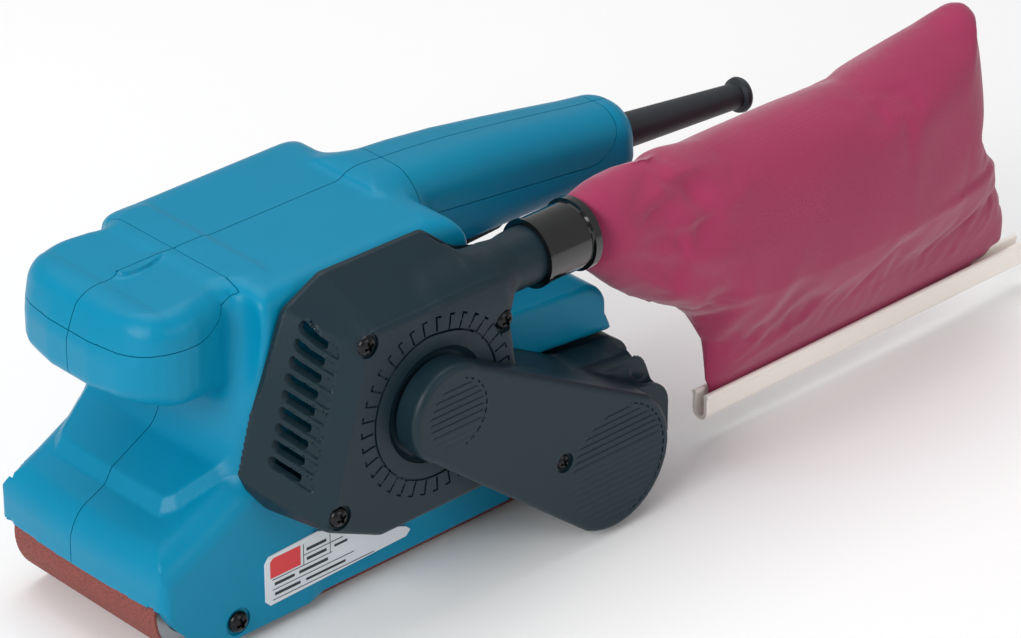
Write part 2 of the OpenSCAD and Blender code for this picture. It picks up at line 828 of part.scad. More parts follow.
module bag_clip()
    color([0.88, 0.85, 0.82])
    difference() {
        front(clip_x, clip_x + clip_len) polygon(concat(
            arc(bag_y, clip_z + 3.6, 3.6, 180, 360, 8),
            [[bag_y + 3.4, clip_z + 10], [bag_y - 3.4, clip_z + 10]]));
        span_box([clip_x - 1, bag_y - 2.2, clip_z + 1.3], [clip_x + clip_len + 1, bag_y + 2.2, clip_z + 20]);
    }

housing_left();
housing_right();
grip_cap_left();
grip_cap_right();
handle_panel_left();
handle_panel_right();
rear_cover();
motor_cover();
drive_case();
drive_cover();
rating_plate();
frame();
platen_plate();
platen_pad();
sanding_belt();
stator_core();
field_coils();
armature_shaft();
armature_core();
armature_windings();
commutator();
cooling_fan();
motor_bearings();
brush_holders();
carbon_brushes();
brush_springs();
motor_pulley();
toothed_belt();
driven_pulley();
pulley_nut();
drive_shaft();
rear_roller();
rear_tyre();
rear_bearings();
front_roller();
front_bearings();
front_axle();
tension_yoke();
tension_spring();
tension_lever();
tracking_screw();
trigger();
switch_body();
lock_button();
speed_dial();
speed_controller();
cord_guard();
nozzle_sleeve();
dust_bag();
bag_clip();
cover_screws();
drive_screw();
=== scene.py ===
"""Looks of the handheld belt sander. Lengths in the modelling functions are millimetres."""
import bpy
import bmesh
import math
import numpy as np
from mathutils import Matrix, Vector


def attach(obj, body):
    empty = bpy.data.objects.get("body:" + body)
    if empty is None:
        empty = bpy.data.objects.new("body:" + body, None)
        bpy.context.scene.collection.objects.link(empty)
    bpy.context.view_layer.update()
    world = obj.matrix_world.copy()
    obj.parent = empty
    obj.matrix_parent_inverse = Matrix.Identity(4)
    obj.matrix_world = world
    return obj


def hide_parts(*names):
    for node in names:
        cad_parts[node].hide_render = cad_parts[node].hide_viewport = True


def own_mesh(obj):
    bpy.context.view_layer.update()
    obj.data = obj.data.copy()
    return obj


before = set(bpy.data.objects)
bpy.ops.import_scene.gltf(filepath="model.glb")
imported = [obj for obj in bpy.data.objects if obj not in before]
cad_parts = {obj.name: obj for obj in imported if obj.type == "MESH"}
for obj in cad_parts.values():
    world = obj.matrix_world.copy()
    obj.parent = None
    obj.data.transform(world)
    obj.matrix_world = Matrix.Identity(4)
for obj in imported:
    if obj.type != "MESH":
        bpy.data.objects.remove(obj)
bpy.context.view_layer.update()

MM = 0.001
PART_Y = 3.0                # plane between the left and right shells
HALF_W = 44.5               # half width of the housing
NOSE_X = -101.5             # front of the nose
REAR_X = 109                # rear of the housing wall
TOP_Z = 130                 # top of the housing
WALL = 3.0                  # thickness of the housing wall
SEAM = 0.17                 # half of the gap at a parting line
COVER_Y = -69.0             # outer face of the motor cover
DRIVE_Y = -79.0             # outer face of the drive cover
PIPE = (-55.0, 110.5)       # outlet pipe axis in Y and Z
BAG_Y = -54.0               # middle plane of the dust bag and its clip

# axes and centres in X and Z
MOTOR = (1.2, 78.8)
REAR = (76.88, 26.5)        # drive roller
DRIVE_END = (REAR[0], 28.5)
TRACKING = (-68, 10.5)
LOCK_BUTTON = (74, 104)
SPEED_DIAL = (24, 108)
COVER_SCREWS = [(-29, 113), (33, 99), (-42.5, 52)]
DRIVE_SCREW = (52, 39)
MOTOR_SEAT = 11.02          # radius of the seats of the motor bearings

# surface extraction in carve
REFINE_STEPS = 4            # steps towards the surface along each crossed grid edge
GRADIENT_STEP = 0.04        # in cells
PULL_TO_MEAN = 0.06         # keeps a vertex on a flat area near the mean of its crossings


# ---------- signed distances ----------

def arc(cx, cz, r, a0, a1, n=8):
    """Points along an arc from angle a0 to angle a1, in degrees."""
    angles = [math.radians(a0 + (a1 - a0) * i / n) for i in range(n + 1)]
    return [(cx + r * math.cos(a), cz + r * math.sin(a)) for a in angles]


def poly(u, v, pts):
    """Signed distance to a closed outline, negative inside. A corner may itself be an array."""
    best, sign = None, 1.0
    for i in range(len(pts)):
        (ax, ay), (bx, by) = pts[i], pts[i - 1]
        ex, ey, wx, wy = bx - ax, by - ay, u - ax, v - ay
        t = np.clip((wx * ex + wy * ey) / np.maximum(ex * ex + ey * ey, 1e-9), 0, 1)
        d = (wx - ex * t) ** 2 + (wy - ey * t) ** 2
        best = d if best is None else np.minimum(best, d)
        c1, c2, c3 = v >= ay, v < by, ex * wy > ey * wx
        sign = np.where((c1 & c2 & c3) | (~c1 & ~c2 & ~c3), -sign, sign)
    return sign * np.sqrt(best)


def loft(u, v, t, out_a, out_b):
    """Distance to an outline that changes from out_a at t = 0 to out_b at t = 1."""
    return poly(u, v, [(a[0] + (b[0] - a[0]) * t, a[1] + (b[1] - a[1]) * t) for a, b in zip(out_a, out_b)])


def smin(a, b, k):
    """Union with a blend about k wide where the two surfaces meet."""
    h = np.maximum(k - np.abs(a - b), 0) / k
    return np.minimum(a, b) - h * h * k / 4


def smax(a, b, k):
    """Intersection with the same blend."""
    return -smin(-a, -b, k)


def edge(a, b, r):
    """Intersection with its edge rounded to radius r."""
    return (np.minimum(np.maximum(a + r, b + r), 0) - r
            + np.hypot(np.maximum(a + r, 0), np.maximum(b + r, 0)))


def bevel(a, b, c):
    """Intersection with its edge cut off at 45 degrees."""
    return np.maximum(np.maximum(a, b), (a + b + c) * 0.7071)


def disc(u, v, cu, cv, r):
    return np.hypot(u - cu, v - cv) - r


def slab(w, lo, hi):
    return np.maximum(lo - w, w - hi)


def capsule(u, v, a, b, ra, rb):
    """Outline round two circles of different radius."""
    ex, ey = b[0] - a[0], b[1] - a[1]
    length = math.hypot(ex, ey)
    ux, uy = ex / length, ey / length
    lean = (ra - rb) / length
    along = (u - a[0]) * ux + (v - a[1]) * uy
    off = np.abs((v - a[1]) * ux - (u - a[0]) * uy)
    up = math.sqrt(1 - lean * lean)
    s = np.clip(along + off * lean / up, 0, length)
    return np.hypot(along - s, off) - (ra + (rb - ra) * s / length)


# ---------- surface from a distance field ----------

def carve(name, field, lo, hi, cell, sharp=38):
    """Mesh of field < 0 that keeps sharp edges, one vertex to each grid cell that the surface crosses."""
    axes = [np.arange(lo[i] - 1.5 * cell, hi[i] + 2.5 * cell, cell) for i in range(3)]
    dims = [len(a) for a in axes]
    grid = axes[0][:, None, None], axes[1][None, :, None], axes[2][None, None, :]
    value = np.broadcast_to(field(*grid), dims)
    inside = value < 0
    points, cells, turned = [], [], []
    stride = np.array([(dims[1] - 1) * (dims[2] - 1), dims[2] - 1, 1])
    for d in range(3):
        e, f = (d + 1) % 3, (d + 2) % 3
        low = [slice(1, -1)] * 3
        high = [slice(1, -1)] * 3
        low[d], high[d] = slice(0, -1), slice(1, None)
        low, high = tuple(low), tuple(high)
        ijk = np.argwhere(inside[low] != inside[high])
        ijk[:, e] += 1
        ijk[:, f] += 1
        start = np.stack([axes[i][ijk[:, i]] for i in range(3)], 1)
        a, b = np.zeros(len(ijk)), np.full(len(ijk), cell)
        va = value[tuple(ijk.T)]
        step = ijk.copy()
        step[:, d] += 1
        vb = value[tuple(step.T)]
        for _ in range(REFINE_STEPS):
            t = a + (b - a) * np.clip(va / np.where(va == vb, 1, va - vb), 0.05, 0.95)
            at = start.copy()
            at[:, d] += t
            vt = field(at[:, 0], at[:, 1], at[:, 2])
            same = (vt < 0) == (va < 0)
            a, va = np.where(same, t, a), np.where(same, vt, va)
            b, vb = np.where(same, b, t), np.where(same, vb, vt)
        t = a + (b - a) * np.clip(va / np.where(va == vb, 1, va - vb), 0, 1)
        at = start
        at[:, d] += t
        corner = []
        for de, df in ((-1, -1), (0, -1), (0, 0), (-1, 0)):
            c = ijk.copy()
            c[:, e] += de
            c[:, f] += df
            corner.append(c @ stride)
        points.append(at)
        cells.append(np.stack(corner, 1))
        turned.append(~inside[tuple(ijk.T)])
    points, cells, turned = np.concatenate(points), np.concatenate(cells), np.concatenate(turned)
    h = GRADIENT_STEP * cell
    normal = np.zeros_like(points)
    for k in ((1, -1, -1), (-1, -1, 1), (-1, 1, -1), (1, 1, 1)):
        at = points + h * np.array(k)
        normal += np.array(k) * field(at[:, 0], at[:, 1], at[:, 2])[:, None]
    normal /= np.maximum(np.linalg.norm(normal, axis=1), 1e-12)[:, None]
    used, index = np.unique(cells, return_inverse=True)
    index = index.reshape(cells.shape)
    flat, n = index.T.ravel(), len(used)

    def total(w):
        return np.bincount(flat, np.tile(w, 4), n)

    count = total(np.ones(len(points)))
    mean = np.stack([total(points[:, i]) / count for i in range(3)], 1)
    plane = (normal * points).sum(1)
    lhs, rhs = np.zeros((n, 3, 3)), np.zeros((n, 3))
    for i in range(3):
        rhs[:, i] = total(normal[:, i] * plane)
        for j in range(3):
            lhs[:, i, j] = total(normal[:, i] * normal[:, j])
    rhs -= np.einsum("nij,nj->ni", lhs, mean)
    lhs += np.eye(3) * PULL_TO_MEAN
    place = mean + np.linalg.solve(lhs, rhs[:, :, None])[:, :, 0]
    low = np.stack([axes[i][(used // stride[i]) % (dims[i] - 1)] for i in range(3)], 1)
    place = np.clip(place, low, low + cell)
    quads = np.where(turned[:, None], index[:, ::-1], index)
    return mesh_object(name, place, quads, sharp)


def mesh_object(name, verts, faces, sharp=38):
    """Piece from millimetre vertices and faces that all have the same number of corners."""
    verts, faces = np.asarray(verts, float), np.asarray(faces)
    mesh = bpy.data.meshes.new(name)
    mesh.vertices.add(len(verts))
    mesh.vertices.foreach_set("co", (verts * MM).ravel())
    mesh.loops.add(faces.size)
    mesh.loops.foreach_set("vertex_index", faces.ravel().astype(np.int32))
    mesh.polygons.add(len(faces))
    mesh.polygons.foreach_set("loop_start", np.arange(len(faces), dtype=np.int32) * faces.shape[1])
    mesh.polygons.foreach_set("use_smooth", np.ones(len(faces), bool))
    mesh.update(calc_edges=True)
    mesh.validate()
    mesh.set_sharp_from_angle(angle=math.radians(sharp))
    obj = bpy.data.objects.new(name, mesh)
    bpy.context.scene.collection.objects.link(obj)
    return obj


# ---------- housing ----------

NOSE_TOP = [(-130, -30), (-130, 27), (-98, 45.5), (-86, 51), (-62, 64), (-50, 70), (-30, 70), (-30, -30)]
NOSE_LOW = ([(-140, 26.5), (-98.7, 26.5)] + arc(-66, 39, 35, -159, -94, 8)
            + [(-68, 4), (150, 4), (150, -60), (-140, -60)])
NOSE_PAD = [(-85, -25), (-81, -29), (-60, -37.5), (-48, -40), (-48, 44), (-60, 42), (-81, 35), (-85, 31)]
BODY_SIDE = ([(-66, 50), (-62, 68), (-57, 88), (-54, 100), (-52, 112)] + arc(-46, 124, 6, 180, 90, 4)
             + arc(24, 114, 16, 90, 0, 8) + [(46.5, 98)] + arc(62, 92, 12, 190, 255, 6) + [(92, 78)]
             + arc(94, 66, 12, 80, 0, 8) + [(106, 63), (109, 57), (109, 55.5), (61, 60), (60, 4), (-50, 4)])
SADDLE = [(130, 160), (53, 160), (53, 82)] + arc(65, 80, 12, 180, 255, 6) + [(94, 64), (130, 62)]
KNOB_SIDE = ([(-40, 129.5), (-70, 129)] + arc(-84, 113, 15.5, 80, 130, 6) + arc(-93.5, 111, 8, 150, 180, 3)
             + arc(-96, 102.5, 5.5, 180, 255, 4) + [(-80, 92.3), (-62, 90.5), (-40, 90.5)])
KNOB_PLAN = ([(-40, -26), (-40, 32), (-52, 34), (-62, 38)] + arc(-75, 14, 26, 75, 150, 8)
             + [(-101.3, 14), (-101.3, -8)] + arc(-75, -8, 26, 210, 285, 8) + [(-62, -32), (-52, -28)])
GRIP_SIDE = ([(24, 131.3), (36, 131.5), (54, 130.3), (74, 128.2), (97, 124.9), (116, 121.9), (134, 118.9)]
             + arc(145, 103.3, 14, 82, 10, 6) + arc(148, 99, 12, -10, -85, 6) + [(40, 92.5), (24, 96)])
GRIP_PLAN = ([(20, -16), (36, -15.8), (74, -14.8), (116, -13), (143, -12)] + arc(145, 3, 15, -85, 85, 10)
             + [(143, 18), (116, 19), (74, 20.8), (36, 21.8), (20, 22)])
CAP_SIDE = ([(-120, 116), (-72, 116)] + arc(-72, 130, 14, -90, -25, 8)
            + [(-52.2, 127), (-52.2, 150), (-120, 150)])
PANEL_SIDE = ([(41, 150), (41, 114.8), (46, 113.5), (80, 109), (127, 102.3)]
              + arc(128, 117, 15, -80, 0, 8) + [(143, 150)])


def grip(x, y, z):
    return edge(poly(x, z, GRIP_SIDE), poly(x, y, GRIP_PLAN), 12)


def knob(x, y, z):
    return edge(poly(x, z, KNOB_SIDE), poly(x, y, KNOB_PLAN), 9)


def housing(x, y, z):
    """Outside of the whole plastic body with its two grips."""
    bow = 2.0 * (np.abs(y) / HALF_W) ** 2.5
    top = poly(x, z, NOSE_TOP)
    side = np.abs(y) - HALF_W
    tip = NOSE_X + bow - x
    nose = np.maximum(np.maximum(edge(top, tip, 8), edge(top, side, 11)), edge(side, tip, 3.5))
    pad = bevel(poly(x, y, NOSE_PAD), top - 3.2, 2.6)
    nose = smin(nose, np.maximum(pad, slab(x, -100, -40)), 1.2)
    front = edge(side, -64 - x, 15)
    walls = edge(poly(x, z, BODY_SIDE), np.maximum(front, x - REAR_X), 3)
    body = edge(walls, edge(side, z - TOP_Z, 12), 3)
    body = smin(body, nose, 6)
    body = np.maximum(np.maximum(body, side), -poly(x, z, NOSE_LOW))
    body = smax(body, -np.maximum(poly(x, z, SADDLE), -27 - y), 4)
    body = np.maximum(smin(body, knob(x, y, z), 11), z - TOP_Z)
    return smin(body, grip(x, y, z), 9)


def boss(x, y, z):
    """Raised drop beside the parting line on the knob."""
    u = (x + 67) / 9.5
    flat = np.hypot(u, (y - PART_Y) / (3.4 - 1.2 * np.clip(u, -1, 1))) - 1
    return np.maximum(flat * 3, slab(z, 120, 130.3))


def shell(x, y, z):
    """The housing as a wall of even thickness, with its openings cut."""
    out = housing(x, y, z)
    wall = np.maximum(smin(out, boss(x, y, z), 1.2), -(out + WALL))
    skin = np.where((z > 27) & (x < 20), out + 2.2, -9.0)
    belt_room = np.maximum(np.maximum(slab(x, -99.3, 62), np.abs(y) - 39), slab(z, -5, 40))
    wall = np.maximum(wall, -np.maximum(belt_room, skin))
    roller_room = np.maximum(slab(x, -75, 62), np.maximum(np.abs(y) - 42, slab(z, -5, 54)))
    wall = np.maximum(wall, -np.maximum(roller_room, skin))
    wall = np.maximum(wall, -np.maximum(slab(x, 61, 120), z - 55))
    slot = np.maximum(slab(x, 55, 96.5), np.maximum(np.abs(y - PART_Y) - 7.6, slab(z, 80, 101)))
    wall = np.maximum(wall, -slot)
    return np.maximum(wall, -np.maximum(disc(y, z + (x - 148) * 0.098, PART_Y, 101, 7.3), 140 - x))


def cap_zone(x, z):
    return np.maximum(poly(x, z, CAP_SIDE), x + 40)


def panel_zone(x, z):
    return poly(x, z, PANEL_SIDE)


def left(y):
    return y - (PART_Y - SEAM)


def right(y):
    return PART_Y + SEAM - y


def housing_left(x, y, z):
    d = np.maximum(shell(x, y, z), left(y))
    d = np.maximum(d, -np.minimum(cap_zone(x, z), panel_zone(x, z)) + SEAM)
    d = np.maximum(d, -np.maximum(disc(x, z, *MOTOR, 31), slab(y, -60, -30)))
    d = np.maximum(d, -np.maximum(disc(x, z, *TRACKING, 5.2), slab(y, -60, -HALF_W + 0.9)))
    return np.maximum(d, -np.maximum(disc(x, z, *TRACKING, 2.6), slab(y, -60, -30)))


def housing_right(x, y, z):
    seat = np.maximum(disc(x, z, *MOTOR, 14), slab(y, 34.8, 43))
    d = np.minimum(np.maximum(shell(x, y, z), right(y)), seat)
    d = np.maximum(d, -np.minimum(cap_zone(x, z), panel_zone(x, z)) + SEAM)
    d = np.maximum(d, -np.maximum(slab(x, -97.5, 61), np.maximum(slab(y, 39, 60), z - 45)))
    d = np.maximum(d, -np.maximum(disc(x, z, *MOTOR, MOTOR_SEAT), slab(y, 30, 41.8)))
    d = np.maximum(d, -np.maximum(disc(x, z, *LOCK_BUTTON, 5.05), slab(y, 10, 30)))
    d = np.maximum(d, -np.maximum(disc(x, z, *SPEED_DIAL, 3.05), slab(y, 30, 60)))
    row = z - 6 * np.clip(np.round((z - 63.5) / 6), 0, 6) - 63.5
    vents = edge(np.abs(x + 19) - 5, np.abs(row) - 1.5, 1.4)
    return np.maximum(d, -np.maximum(vents, slab(y, 38, 60)))


def cap_left(x, y, z):
    return np.maximum(np.maximum(shell(x, y, z), left(y)), cap_zone(x, z) + SEAM)


def cap_right(x, y, z):
    return np.maximum(np.maximum(shell(x, y, z), right(y)), cap_zone(x, z) + SEAM)


def panel_left(x, y, z):
    return np.maximum(np.maximum(shell(x, y, z), left(y)), panel_zone(x, z) + SEAM)


def panel_right(x, y, z):
    return np.maximum(np.maximum(shell(x, y, z), right(y)), panel_zone(x, z) + SEAM)


# ---------- covers ----------

# loft() pairs the corners of the next two outlines, the foot and the face of the motor cover.
FOOT_CORE = [(-61, 71), (-58, 64), (-51, 55), (-25, 43), (32, 43), (32, 110), (14, 125), (-28, 125.5),
             (-41, 119)]
FACE_CORE = [(-45, 56), (-44, 54), (-43, 52), (-22.5, 42.5), (32, 42.5), (33, 80), (28, 111), (-24, 111.5),
             (-28, 108)]
PIPE_MOUTH = [(16, 140), (17, 129), (38, 110.5), (60, 125)]
COVER_ROUND = 6.0
RIB_PITCH = 2.6
DASH_PITCH = 3.2


def cover_form(x, y, z, inset=0.0):
    """Outside of the motor cover without its outlet pipe, moved in by inset."""
    t = np.clip((-HALF_W - 2 - y) / 20.5, 0, 1)
    side = loft(x, z, t, FOOT_CORE, FACE_CORE) - COVER_ROUND + inset
    lean = (x + 33) * -0.962 + (z - 113) * 0.272
    chamfer = (lean + COVER_Y - y + 4.5) * 0.7071 + inset
    return np.maximum(edge(side, COVER_Y + inset - y, 2.6), chamfer)


def motor_cover(x, y, z):
    out = cover_form(x, y, z)
    horn = np.maximum(disc(y, z, *PIPE, 10.5), slab(x, 24, 74))
    shoulder = edge(disc(y, z, -56, 108, 13), np.abs(x - 20) - 21, 7)
    out = smin(smin(out, shoulder, 5), horn, 4)
    gap = np.maximum(poly(x, z, PIPE_MOUTH), slab(y, -51.5, -46.6))
    out = smax(out, -gap, 1.0)
    room = np.maximum(cover_form(x, y, z, 2.2), slab(y, -80, -44))
    d = np.maximum(out, -room)
    d = np.maximum(d, y + HALF_W)
    d = np.minimum(d, np.maximum(disc(x, z, *MOTOR, 14), slab(y, COVER_Y + 1, -60.5)))
    d = np.maximum(d, -np.maximum(disc(y, z, *PIPE, 8.7), 20 - x))
    d = np.maximum(d, -np.maximum(disc(x, z, *MOTOR, MOTOR_SEAT), slab(y, COVER_Y + 1.2, -50)))
    d = np.maximum(d, -np.maximum(disc(x, z, *MOTOR, 5.5), slab(y, -80, -50)))
    # air slots in the slanted front, with a shallow step at the end of each
    slot_pitch = 5.75
    fall = z - 116 - 0.84 * (y + 55)
    off = np.abs(fall + slot_pitch * np.clip(np.round(-fall / slot_pitch), 0, 8)) * 0.766
    slots = edge(off - 1.5, slab(y, -59, -51), 1.3)
    d = np.maximum(d, -np.maximum(slots, x + 36))
    steps = edge(off - 1.5, slab(y, -62.5, -57), 0.8)
    front = np.maximum(cover_form(x, y, z, 0.7), x + 36)
    d = np.maximum(d, -np.maximum(np.maximum(steps, x + 36), -front))
    # ring, ticks and recess on the face
    turn = np.arctan2(z - MOTOR[1], x - MOTOR[0])
    radius = np.hypot(x - MOTOR[0], z - MOTOR[1])
    skin = y - (COVER_Y + 0.7)
    ring = np.maximum(np.abs(radius - 27.6) - 0.45, skin)
    pitch = math.radians(10)
    bend = turn - pitch * np.round(turn / pitch)
    ticks = np.maximum(np.maximum(np.abs(bend * radius) - 0.4, slab(radius, 28.5, 34)), skin)
    hook = np.maximum(np.maximum(slab(bend * radius, -2.0, 0.2), np.abs(radius - 33.6) - 0.4), skin)
    pocket = np.maximum(radius - 21.5, y - (COVER_Y + 1.5) + np.maximum(radius - 19.5, 0) * 0.5)
    for cut in (ring, ticks, hook, pocket):
        d = np.maximum(d, -cut)
    for spot in COVER_SCREWS:
        d = np.maximum(d, -np.maximum(disc(x, z, *spot, 4.7), y - (COVER_Y + 1.25)))
    return d


def drive_out(x, z):
    """Outline of the drive cover round the two pulleys."""
    return capsule(x, z, MOTOR, DRIVE_END, 18.5, 26.5)


def drive_cover(x, y, z):
    out = drive_out(x, z)
    d = edge(out, DRIVE_Y - y, 2.6)
    d = np.maximum(d, y - (COVER_Y - 0.3))
    room = np.maximum(out + 2, slab(y, DRIVE_Y + 1.9, -60))
    d = np.maximum(d, -room)
    skin = y - (DRIVE_Y + 0.45)
    for cx, cz, r in ((MOTOR[0] + 0.5, MOTOR[1], 12.5), (*DRIVE_END, 22)):
        near = disc(x, z, cx, cz, r)
        ribs = np.abs(((z - cz) / RIB_PITCH + 0.5) % 1 - 0.5) * RIB_PITCH - 0.5
        d = np.maximum(d, -np.maximum(near, bevel(ribs, y - (DRIVE_Y + 0.22), 0.35)))
        turn = np.arctan2(z - cz, x - cx) * r / DASH_PITCH
        dashes = np.maximum(np.abs(near - 0.9) - 0.3, np.abs(turn - np.round(turn)) * DASH_PITCH - 1)
        d = np.maximum(d, -np.maximum(np.maximum(dashes, cx + r * 0.3 - x), skin))
    d = np.maximum(d, -np.maximum(disc(x, z, *DRIVE_SCREW, 3.8), y - (DRIVE_Y + 1.25)))
    return np.maximum(d, -np.maximum(disc(x, z, *DRIVE_SCREW, 1.8), slab(y, -90, -60)))


CASE_HIGH = ([(60, 60), (96, 55.5)] + arc(101.5, 45.5, 10.3, 70, 0, 6)
             + [(111.8, 26), (104, 14), (80, 10), (60, 20)])
CASE_LOW = ([(60, 47), (93, 47.5)] + arc(101.3, 36, 10.4, 75, 0, 6)
            + [(111.7, 24), (104, 10), (80, 8), (60, 14)])
SHROUD_SIDE = ([(61.8, 54.6), (99, 54.6)] + arc(103.5, 46, 8.5, 80, 0, 6) + [(112.2, 24)]
               + arc(82.5, 22, 29.7, 0, -22, 4) + [(100, 11.3), (82.3, 53)])


def drive_case(x, y, z):
    """Case behind the drive cover: a high part, a low part, and the cover's own outline."""
    high = edge(poly(x, z, CASE_HIGH), slab(y, -60, -40), 3.0)
    low = edge(poly(x, z, CASE_LOW), slab(y, -80, -40), 1.5)
    d = smin(smin(high, low, 5), drive_out(x, z), 1.5)
    ends = slab(y, COVER_Y - 0.25, -44.7)
    d = np.maximum(np.maximum(d, 38.7 - x), ends)
    room = np.maximum(np.maximum(drive_out(x, z) + 2.2, slab(y, -80, -47)), 40 - x)
    d = np.maximum(d, -room)
    slot = edge(np.maximum(slab(x, 103.4 + 0.1 * (y + 50), 120), 43 - z), slab(y, -59.5, -48.5), 1.0)
    scoop = edge(disc(x, z, 106, 48, 5.5), slab(y, -67.3, -60.5), 1.5)
    hole = np.maximum(disc(y, z, -65.3, 35.5, 3.3), 106 - x)
    for cut in (slot, scoop, hole):
        d = smax(d, -cut, 0.6)
    return np.maximum(d, -np.maximum(disc(x, z, *REAR, 15.8), slab(y, -60, -40)))


def rear_cover(x, y, z):
    d = edge(poly(x, z, SHROUD_SIDE), np.abs(y) - HALF_W, 1.6)
    d = np.maximum(d, -np.maximum(disc(x, z, *REAR, 28.5), slab(y, -60, 60)))
    return np.maximum(d, -np.maximum(slab(x, 50, REAR[0]), z - 51.5))


# ---------- small hardware ----------

def screw(name, x, y, z, r, high):
    """Pan head screw with a cross recess, its head towards -Y."""
    def head(px, py, pz):
        radius = np.hypot(px - x, pz - z)
        dome = np.hypot(radius, (py - y - high) * r / high * 0.9) - r
        d = np.maximum(dome, py - y - high)
        a, b = (px - x) * 0.94 + (pz - z) * 0.34, (pz - z) * 0.94 - (px - x) * 0.34
        taper = 0.42 + np.maximum(y + high * 0.8 - py, 0) * 0.12
        cross = np.minimum(np.maximum(np.abs(a) - taper, np.abs(b) - r * 0.55),
                           np.maximum(np.abs(b) - taper, np.abs(a) - r * 0.55))
        return np.maximum(d, -np.maximum(cross, py - y - high * 0.55))
    return carve(name, head, (x - r, y - 0.5, z - r), (x + r, y + high, z + r), 0.3)


PRINT_Y = -HALF_W - 0.56    # just outside the face of the rating plate


def rating_marks():
    """Ruled lines and blocks of text on the plate, as thin printed layers."""
    lines = [(-53, -7, 12.6, 12.95), (-53, -16, 16.6, 16.95), (-53, -26, 20.6, 20.95),
             (-39, -38.7, 20.8, 29.2), (-27, -26.7, 20.8, 28.2), (-39, -21, 24.6, 24.95)]
    words = [(-52, -40.5, 14.2, 15.4), (-38, -20, 14.2, 15.2), (-52, -43, 18.2, 19.4), (-41, -28, 18.2, 19.4),
             (-37.5, -28.5, 26, 27.2), (-37.5, -28.5, 22.2, 23.4), (-25, -19, 22.2, 23.2)]
    verts, faces = [], []
    y = PRINT_Y
    for x0, x1, z0, z1 in lines + words:
        n = len(verts)
        verts += [(x0, y, z0), (x1, y, z0), (x1, y, z1), (x0, y, z1)]
        faces.append((n, n + 1, n + 2, n + 3))
    return mesh_object("plate_marks", verts, faces)


def rating_block():
    y = PRINT_Y - 0.01
    verts = [(-53.8, y, 21.6), (-40.2, y, 21.6), (-40.2, y, 29.4), (-52.4, y, 29.4), (-53.8, y, 28.2)]
    return mesh_object("plate_block", verts, [tuple(range(5))])


# ---------- dust bag ----------

BAG_SIDE = ([(79, 98), (88, 90), (97, 81.5), (111, 71), (126, 61), (137, 52.5), (145, 40), (146, 26),
             (146, 11), (309, 11), (309, 24), (303, 42), (297, 58), (292, 75), (287, 92), (283, 110),
             (279, 126)]
            + arc(272, 131, 7, 30, 110, 3)
            + [(258, 134), (236, 130), (214, 127), (180, 126.5), (142, 125.5), (110, 127), (90, 126),
               (79, 123)])
BAG_ROUND = 26.0            # how far in from its edge the bag reaches its full thickness
BAG_HALF = 19.0             # half of that thickness, before it is swelled
BAG_NECK = (80, 110)        # where the creases from the neck start, in X and Z
BAG_CORNER = (146, 20)      # where the creases from the clamped corner start
CLOTH_FRAMES = 20
CLOTH_PRESSURE = 4.0
CLOTH_CAP = 6.0             # furthest that the simulation may move a point


def bag_form(x, y, z):
    """The bag before it is swelled, thin along the clip and towards its far end."""
    deep = -poly(x, z, BAG_SIDE)
    s = np.clip(deep / BAG_ROUND, 0, 1)
    full = BAG_HALF * np.sqrt(1 - (1 - s) ** 2)
    low = np.clip((z - 22) / 45, 0, 1)
    back = np.clip((318 - x) / 90, 0, 1)
    neck = np.clip((x - 79) / 40, 0, 1)
    half = full * (0.1 + 0.9 * low ** 0.8) * (0.45 + 0.55 * back) * (0.75 + 0.25 * neck)
    return np.maximum(np.abs(y - BAG_Y) - half, -deep)


def noise_fold(p, seed):
    """Smooth repeatable folds from a few sine waves."""
    rng = np.random.default_rng(seed)
    total = np.zeros(len(p))
    for _ in range(7):
        direction = rng.normal(size=2)
        direction /= np.linalg.norm(direction)
        freq = rng.uniform(0.05, 0.16)
        total += np.sin((p[:, 0] * direction[0] + p[:, 2] * direction[1]) * freq + rng.uniform(0, 6.28))
    return total / 7


def positions(mesh):
    return np.array([v.co for v in mesh.vertices]) / MM


def swell(bag, start, free):
    """Vertices after the cloth simulation, which holds them where free is 0."""
    mod = bag.modifiers.new("cloth", "CLOTH")
    cfg = mod.settings
    cfg.quality = 6
    cfg.mass = 0.15
    cfg.use_pressure = True
    cfg.uniform_pressure_force = CLOTH_PRESSURE
    cfg.shrink_min = -0.03
    cfg.tension_stiffness = cfg.compression_stiffness = 15
    cfg.bending_stiffness = 0.35
    cfg.effector_weights.gravity = 0
    group = bag.vertex_groups.new(name="pin")
    for i, w in enumerate(free):
        group.add([i], 1 - float(w), "REPLACE")
    cfg.vertex_group_mass = "pin"
    mod.point_cache.frame_end = CLOTH_FRAMES
    scene = bpy.context.scene
    for f in range(1, CLOTH_FRAMES + 1):
        scene.frame_set(f)
    held = bag.evaluated_get(bpy.context.evaluated_depsgraph_get())
    move = positions(held.data) - start
    bag.modifiers.clear()
    scene.frame_set(1)
    size = np.linalg.norm(move, axis=1)
    move *= (np.tanh(size / CLOTH_CAP) * CLOTH_CAP / np.maximum(size, 1e-9))[:, None]
    return start + move


def polar(at, centre):
    """Distance and angle of each vertex from a centre in X and Z."""
    x, z = at[:, 0] - centre[0], at[:, 2] - centre[1]
    return np.hypot(x, z), np.arctan2(z, x)


def creases(at):
    """Depth of the creases that fan out from the neck and up from the clamped corner."""
    away, angle = polar(at, BAG_NECK)
    wave = np.abs(np.sin(angle * 9 + 0.6 * np.sin(away * 0.05))) ** 1.5
    neck = wave * np.exp(-((away - 38) / 30) ** 2) * 2.88
    away, angle = polar(at, BAG_CORNER)
    corner = np.abs(np.sin(angle * 8)) * np.exp(-((away - 34) / 22) ** 2) * 1.92
    return neck + corner


